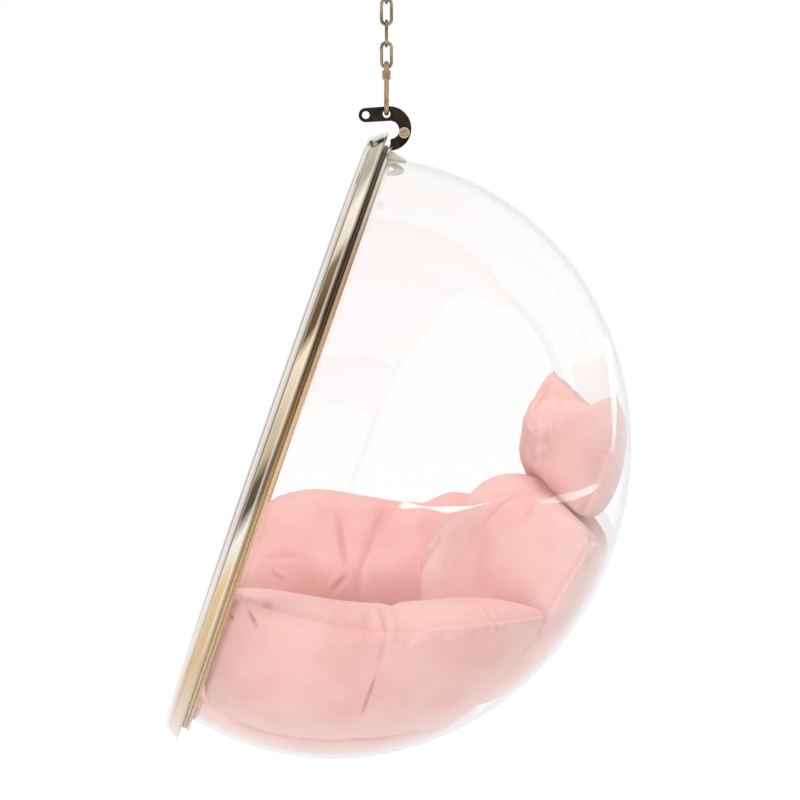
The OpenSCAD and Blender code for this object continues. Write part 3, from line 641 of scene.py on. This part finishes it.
def cotton(name):
    """Plain woven cotton: fine weave and slubs in the bump, soft tint patches, sheen, and painted shade
    in seams and creases, read from a point attribute.
    """
    mat, tree, shader, _ = material(name)
    where = add(tree, "TexCoord").outputs["Object"]
    patches = add(tree, "TexNoise", Vector=where, Scale=11.0, Detail=4.0, Roughness=0.55)
    tone = ramp(tree, patches.outputs["Fac"], shades([(0.32, COTTON_DEEP), (0.60, COTTON_LIGHT)]))
    threads = []
    for axis, turn in (("X", 0.0), ("Z", 0.4)):
        turned = add(tree, "Mapping", Vector=where, Rotation=(turn, turn, turn))
        wave = add(tree, "TexWave", Vector=turned.outputs[0], bands_direction=axis, Scale=260.0,
                   Distortion=1.4, Detail=2.0, Detail_Scale=1.5)
        threads.append(wave.outputs["Fac"])
    slub = add(tree, "TexNoise", Vector=where, Scale=380.0, Detail=2.0, Roughness=0.6)
    relief = combined(tree, "ADD", combined(tree, "MULTIPLY", *threads), slub.outputs["Fac"])
    cloth = add(tree, "Bump", Strength=0.16, Distance=0.0006, Height=relief)
    rumple = add(tree, "TexNoise", Vector=where, Scale=26.0, Detail=4.0, Roughness=0.55)
    soft = add(tree, "Bump", Strength=0.10, Distance=0.005, Height=rumple.outputs["Fac"],
               Normal=cloth.outputs[0])
    darker = mixed(tree, 0.10, tone, slub.outputs["Color"], "MULTIPLY")
    # painted shade in seams and creases, as each point holds it
    painted_shade = add(tree, "Attribute", attribute_name="painted_shade")
    shaded = mixed(tree, painted_shade.outputs["Fac"], darker, linear(*COTTON_PAINTED_SHADE))
    adjust(tree, shader, Base_Color=shaded, Normal=soft.outputs[0], Roughness=0.88,
           Sheen_Weight=0.08, Sheen_Roughness=0.5, Specular_IOR_Level=0.12)
    return mat


pink = cotton("pink_cotton")

# Filling, seams and folds, with painted shade in the seams and creases
CLOTH_STEPS = 20
SEAM_STEP, HIT_STEP, LINE_STEP = 0.004, 0.006, 0.003  # between the points of lines laid on a cushion


def coordinates(mesh):
    co = np.empty(len(mesh.vertices) * 3, np.float32)
    mesh.vertices.foreach_get("co", co)
    return co.reshape(-1, 3).astype(float)


def set_coordinates(mesh, co):
    mesh.vertices.foreach_set("co", co.astype(np.float32).ravel())
    mesh.update()


def normals(mesh):
    out = np.empty(len(mesh.vertices) * 3, np.float32)
    mesh.vertex_normals.foreach_get("vector", out)
    return out.reshape(-1, 3).astype(float)


def bake(obj):
    """Puts the result of an object's modifiers into its mesh."""
    result = bpy.data.meshes.new_from_object(
        obj.evaluated_get(bpy.context.evaluated_depsgraph_get()))
    obj.modifiers.clear()
    old, obj.data = obj.data, result
    bpy.data.meshes.remove(old)


def inside_wall(co):
    """Moves points that lie beyond the shell's wall back onto it."""
    w = co - MIDDLE
    length = np.linalg.norm(w, axis=1)
    w = w / length[:, None]
    behind = (co - np.array(CHAIR)) @ np.array([0, COS_TILT, -SIN_TILT]) > 0.0
    limit = to_wall(w) - CLOTH_GAP
    length = np.where(behind & (length > limit), limit, length)
    return MIDDLE + w * length[:, None]


def inflate(obj, pressure, spare, cap):
    """Cloth under pressure, with some spare cloth so that it wrinkles. No point moves further than
    cap. Gives the points as they were before."""
    start = coordinates(obj.data)
    if not SLOW:
        return start
    cloth = obj.modifiers.new("cloth", "CLOTH")
    set_up = cloth.settings
    set_up.quality = 4
    set_up.mass = 0.25
    set_up.tension_stiffness = set_up.compression_stiffness = 12
    set_up.shear_stiffness = 4
    set_up.bending_stiffness = 0.15
    set_up.use_pressure = True
    set_up.uniform_pressure_force = pressure
    set_up.shrink_min = -spare
    set_up.effector_weights.gravity = 0
    cloth.collision_settings.use_self_collision = False
    cloth.collision_settings.use_collision = False
    cloth.point_cache.frame_start, cloth.point_cache.frame_end = 1, CLOTH_STEPS
    for step in range(1, CLOTH_STEPS + 1):
        bpy.context.scene.frame_set(step)
    moved = coordinates(obj.evaluated_get(bpy.context.evaluated_depsgraph_get()).data)
    obj.modifiers.clear()
    bpy.context.scene.frame_set(1)
    shift = moved - start
    far = np.linalg.norm(shift, axis=1)
    shift *= (cap * np.tanh(far / cap) / np.maximum(far, 1e-9))[:, None]
    set_coordinates(obj.data, inside_wall(start + shift))
    return start


def nearest(points, others):
    """Which of the others lies nearest to each point, and how far off it is."""
    tree = KDTree(len(others))
    for i, p in enumerate(others):
        tree.insert(p, i)
    tree.balance()
    found = [tree.find(p) for p in points]
    return np.array([f[1] for f in found]), np.array([f[2] for f in found])


def smoothed(points, rounds, closed=True):
    for _ in range(rounds):
        before, after = np.roll(points, 1, 0), np.roll(points, -1, 0)
        if not closed:
            before[0], after[-1] = points[0], points[-1]
        points = (before + 2 * points + after) / 4
    return points


def resampled(points, step, closed=True):
    """Points at even steps along a line, and how far along it they lie."""
    if closed:
        points = np.vstack([points, points[:1]])
    run = np.concatenate([[0], np.cumsum(np.linalg.norm(np.diff(points, axis=0), axis=1))])
    keep = np.concatenate([[True], np.diff(run) > 1e-9])
    points, run = points[keep], run[keep]
    count = max(4, int(run[-1] / step))
    at = np.linspace(0, run[-1], count, endpoint=not closed)
    return np.stack([np.interp(at, run, points[:, i]) for i in range(3)], -1), at


def add_painted_shade(mesh, share):
    """Keeps how much painted shade each point gets in a seam or crease, for the cotton's colour."""
    layer = mesh.attributes.get("painted_shade") or mesh.attributes.new("painted_shade", "FLOAT", "POINT")
    old = np.empty(len(mesh.vertices), np.float32)
    layer.data.foreach_get("value", old)
    layer.data.foreach_set("value", np.maximum(old, share).astype(np.float32))


def gather(obj, seam, seed, pucker):
    """Draws the cloth in along its seam, with puckers that die out away from it, and paints shade into the
    seam.
    """
    depth, width, reach, step = 0.004, 0.009, 0.035, 0.027
    flat, dark = 0.006, 0.004  # so near to the seam the puckers are flat, and the seam has painted shade
    line, at = resampled(seam, LINE_STEP)
    mesh = obj.data
    co, n = coordinates(mesh), normals(mesh)
    number, away = nearest(co, line)
    along, whole = at[number], at[-1]
    rng = np.random.RandomState(seed)
    phase = sum(a * np.sin(2 * np.pi * along * f / whole + p)
                for a, f, p in zip((1.6, 1.1, 0.8), (3, 7, 13), rng.rand(3) * 6))
    strength = 0.55 + 0.45 * np.sin(2 * np.pi * along * 5 / whole + rng.rand() * 6)
    ripple = np.sin(2 * np.pi * along / step + 2.2 * phase) * strength
    push = (-depth * np.exp(-(away / width) ** 2)
            + pucker * ripple * np.exp(-(away / reach) ** 2) * (1 - np.exp(-(away / flat) ** 2)))
    set_coordinates(mesh, inside_wall(co + n * push[:, None]))
    # painted shade along the seam
    add_painted_shade(mesh, 0.45 * np.exp(-(away / dark) ** 2))


def creased(obj, creases):
    """Presses folds into a cushion along lines that the camera sees on it: points, depth, width.
    A low ridge follows each crease on both sides, and painted shade darkens each crease, more where
    it is deep and narrow."""
    ridge, ridge_at, ridge_width = 0.45, 2.2, 1.1
    sharp, darkest = 0.003, 0.8
    mesh = obj.data
    hull = hull_of(mesh)
    for points, depth, width in creases:
        hits = [hull.ray_cast(*sight(*p))[0] for p in points]
        hits = np.array([h for h in hits if h is not None])
        if len(hits) < 2:
            continue
        line = smoothed(resampled(hits, HIT_STEP, False)[0], 6, False)
        line, at = resampled(line, LINE_STEP, False)
        co, n = coordinates(mesh), normals(mesh)
        number, away = nearest(co, line)
        fade = np.sin(np.pi * np.clip(at[number] / at[-1], 0.03, 0.97)) ** 0.6
        valley = np.exp(-(away / width) ** 2)
        banks = np.exp(-((away - ridge_at * width) / (ridge_width * width)) ** 2)
        push = fade * (-depth * valley + ridge * depth * banks)
        set_coordinates(mesh, inside_wall(co + n * push[:, None]))
        # painted shade in the crease, deeper for deep and narrow creases
        dark = np.clip(100 * depth * min(1.0, sharp / width), 0, darkest)
        add_painted_shade(mesh, dark * fade * valley)


CLOTH = {  # cells across and along; pressure, spare cloth, cap; pucker at the seam
    "seat_cushion": ((88, 88), (3.0, 0.03, 0.007), 0.0012),
    "arm_cushion_left": ((120, 56), (3.0, 0.02, 0.006), 0.0009),
    "arm_cushion_right": ((104, 52), (3.0, 0.025, 0.007), 0.0012),
    "back_cushion": ((100, 72), (3.0, 0.03, 0.008), 0.0012),
    "head_pillow": ((84, 64), (4.0, 0.045, 0.009), 0.0016),
}
CREASES = {  # points of the picture; depth; width
    "arm_cushion_left": [
        ([(379, 604), (381, 612), (388, 626), (384, 643), (377, 670)], 0.0035, 0.005),
        ([(371, 604), (368, 622), (367, 646)], 0.002, 0.007),
        ([(377, 672), (373, 683), (367, 699), (360, 717), (353, 739)], 0.007, 0.0021),
        ([(243, 598), (249, 608), (258, 630)], 0.0085, 0.0030),
        ([(256, 604), (270, 605), (290, 607)], 0.0075, 0.0022),
        ([(227, 610), (230, 615), (235, 622)], 0.008, 0.003),
        ([(203, 688), (216, 696), (232, 703)], 0.005, 0.004),
        ([(198, 699), (210, 703), (226, 708)], 0.006, 0.003),
        ([(484, 607), (490, 615), (493, 626)], 0.0015, 0.005),
    ],
    "arm_cushion_right": [
        ([(337, 500), (340, 530), (345, 560), (350, 590)], 0.005, 0.005),
        ([(330, 596), (338, 585), (350, 574)], 0.004, 0.005),
        ([(268, 570), (276, 578), (288, 582)], 0.004, 0.004),
        ([(262, 560), (290, 556), (308, 560)], 0.002, 0.006),
    ],
    "back_cushion": [
        ([(526, 493), (508, 500), (494, 510), (482, 524), (474, 539)], 0.005, 0.006),
        ([(540, 500), (528, 512), (520, 530)], 0.004, 0.006),
        ([(590, 520), (576, 534), (560, 544)], 0.005, 0.005),
        ([(600, 545), (584, 560), (565, 568)], 0.003, 0.007),
    ],
    "head_pillow": [
        ([(553, 374), (548, 392), (534, 410), (524, 424)], 0.004, 0.005),
        ([(560, 382), (562, 402), (556, 424), (545, 446)], 0.0035, 0.006),
        ([(572, 388), (584, 402), (590, 420)], 0.004, 0.005),
        ([(524, 470), (534, 462), (548, 458)], 0.004, 0.006),
        ([(606, 440), (600, 465), (592, 490), (584, 510)], 0.003, 0.004),
    ],
}
FIRST_SEED = 11

for number, (name, (outside, inside)) in enumerate(SOFT.items()):
    cells, cloth, pucker = CLOTH[name]
    piece, seam = sewn(name + "_soft", outside, inside, *cells)
    start = inflate(piece, *cloth)
    on_seam, _ = nearest(resampled(seam, SEAM_STEP)[0], start)
    seam = smoothed(coordinates(piece.data)[on_seam], 4)
    refine = piece.modifiers.new("refine", "SUBSURF")
    refine.levels = refine.render_levels = 1
    bake(piece)
    gather(piece, seam, FIRST_SEED + number, pucker)
    creased(piece, CREASES.get(name, ()))
    smooth_faces(piece.data)
    piece.data.materials.clear()
    piece.data.materials.append(pink)
    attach(piece, "chair")
    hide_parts(name)

# Stage
LIT = ("Camera", "Glossy", "Transmission")  # rays that see the room at its full brightness
AWAY, COLUMNS = 2.2, 5  # how far off the cards for glints stand, and how many points wide they are


def plane(name, size, place, normal, mat):
    obj = new_object(name, [(-size[0] / 2, -size[1] / 2, 0), (size[0] / 2, -size[1] / 2, 0),
                            (size[0] / 2, size[1] / 2, 0), (-size[0] / 2, size[1] / 2, 0)],
                     [(0, 1, 2, 3)], smooth=False)
    obj.rotation_euler = Vector(normal).to_track_quat("Z", "Y").to_euler()
    obj.location = place
    obj.data.materials.append(mat)


def backdrop():
    """Pale floor that the camera, metal and clear plastic see as white, and that keeps shadows."""
    mat, tree, shader, out = material("floor_white")
    grain = add(tree, "TexNoise", Scale=4.0, Detail=3.0).outputs["Fac"]
    tone = ramp(tree, grain, greys([(0.3, 0.88), (0.7, 0.93)]))
    adjust(tree, shader, Base_Color=tone, Roughness=0.9)
    glow = add(tree, "Emission", Color=WHITE, Strength=1.05)
    share = combined(tree, "MULTIPLY", rays(tree, *LIT), 0.9)
    put(tree, blended(tree, share, shader.outputs[0], glow.outputs[0]), out.inputs[0])
    return mat


def studio():
    """A white world, seen at its full brightness and dimmer as light."""
    world = bpy.data.worlds.new("studio")
    bpy.context.scene.world = world
    world.use_nodes = True
    tree = world.node_tree
    tree.nodes.clear()
    strength = spread(tree, rays(tree, *LIT), 0.0, 1.0, 0.55, 1.0)
    sky = add(tree, "Background", Color=WHITE, Strength=strength)
    add(tree, "OutputWorld", Surface=sky.outputs[0])


def lamp(name, place, aim, size, energy):
    data = bpy.data.lights.new(name, "AREA")
    data.shape = "RECTANGLE"
    data.size = data.size_y = size
    data.energy = energy
    obj = bpy.data.objects.new(name, data)
    obj.location = place
    obj.rotation_euler = (Vector(place) - Vector(aim)).to_track_quat("Z", "Y").to_euler()
    obj.visible_glossy = obj.visible_transmission = False
    bpy.context.scene.collection.objects.link(obj)


plane("floor", (40, 40), (0, 0, -1.75), (0, 0, 1), backdrop())
studio()
lamp("key", (2.2, -2.0, 1.6), (0, 0, -0.85), 1.6, 50)
lamp("top", (-0.6, 0.4, 2.2), (0, 0, -0.9), 2.2, 54)
lamp("fill", (2.7, -0.3, -0.6), (0, 0, -1.05), 2.0, 19)


def card(name, verts, faces, shares, strength):
    """A bright studio card that shows only in gloss, weaker where its share is less."""
    mat, tree, shader, out = material(name)
    tree.nodes.remove(shader)
    glow = add(tree, "Emission", Color=WHITE, Strength=strength).outputs[0]
    share = add(tree, "Attribute", attribute_name="share").outputs["Fac"]
    see_through = add(tree, "BsdfTransparent").outputs[0]
    put(tree, blended(tree, share, see_through, glow), out.inputs[0])
    obj = new_object(name, verts, faces, smooth=False)
    obj.data.attributes.new("share", "FLOAT", "POINT").data.foreach_set("value", shares)
    obj.data.materials.append(mat)
    obj.visible_camera = obj.visible_diffuse = obj.visible_transmission = obj.visible_shadow = False


def glint(name, mirror, line, half, strength):
    """A card placed where this piece's near side mirrors it along this line of the picture. Half is
    how many pixels it shows on each side of the line. It narrows and fades at its ends."""
    face = hull_of(mirror.data)
    line = np.array(line, float)
    ahead = np.gradient(line, axis=0)
    side = np.stack([-ahead[:, 1], ahead[:, 0]], -1) / np.linalg.norm(ahead, axis=1)[:, None]
    taper = np.sin(np.pi * np.linspace(0.12, 0.88, len(line))) ** 0.7
    ends = np.clip(np.minimum(np.arange(len(line)), np.arange(len(line))[::-1]), 0, 1)
    rows, shares = [], []
    for p, s, k, end in zip(line, side, taper, ends):
        row = []
        for place in np.linspace(-1, 1, COLUMNS):
            start, ray = sight(*(p + place * half * k * s))
            hit, normal, _, _ = face.ray_cast(start, ray)
            if hit is not None:
                row.append(hit + AWAY * ray.reflect(normal))
        if len(row) == COLUMNS:
            rows.append(row)
            shares.extend([float(end)] * COLUMNS)
    corners_at = [COLUMNS * i + j for i in range(len(rows) - 1) for j in range(COLUMNS - 1)]
    faces = [(c, c + 1, c + COLUMNS + 1, c + COLUMNS) for c in corners_at]
    card(name, [v for row in rows for v in row], faces, shares, strength)


glint("glint_low", shell, [(398, 507), (403, 506), (425, 508), (450, 508), (474, 506), (487, 504),
                           (493, 503)], half=3.2, strength=12)
glint("glint_back", shell, [(534, 503), (543, 502), (558, 500), (575, 496), (592, 489), (600, 485)],
      half=4.2, strength=4.5)
glint("glint_side", shell, [(606, 336), (609, 350), (612, 375), (614, 400), (614, 428), (611, 458)],
      half=2.8, strength=2.6)

scene = bpy.context.scene
scene.view_settings.view_transform = "Standard"
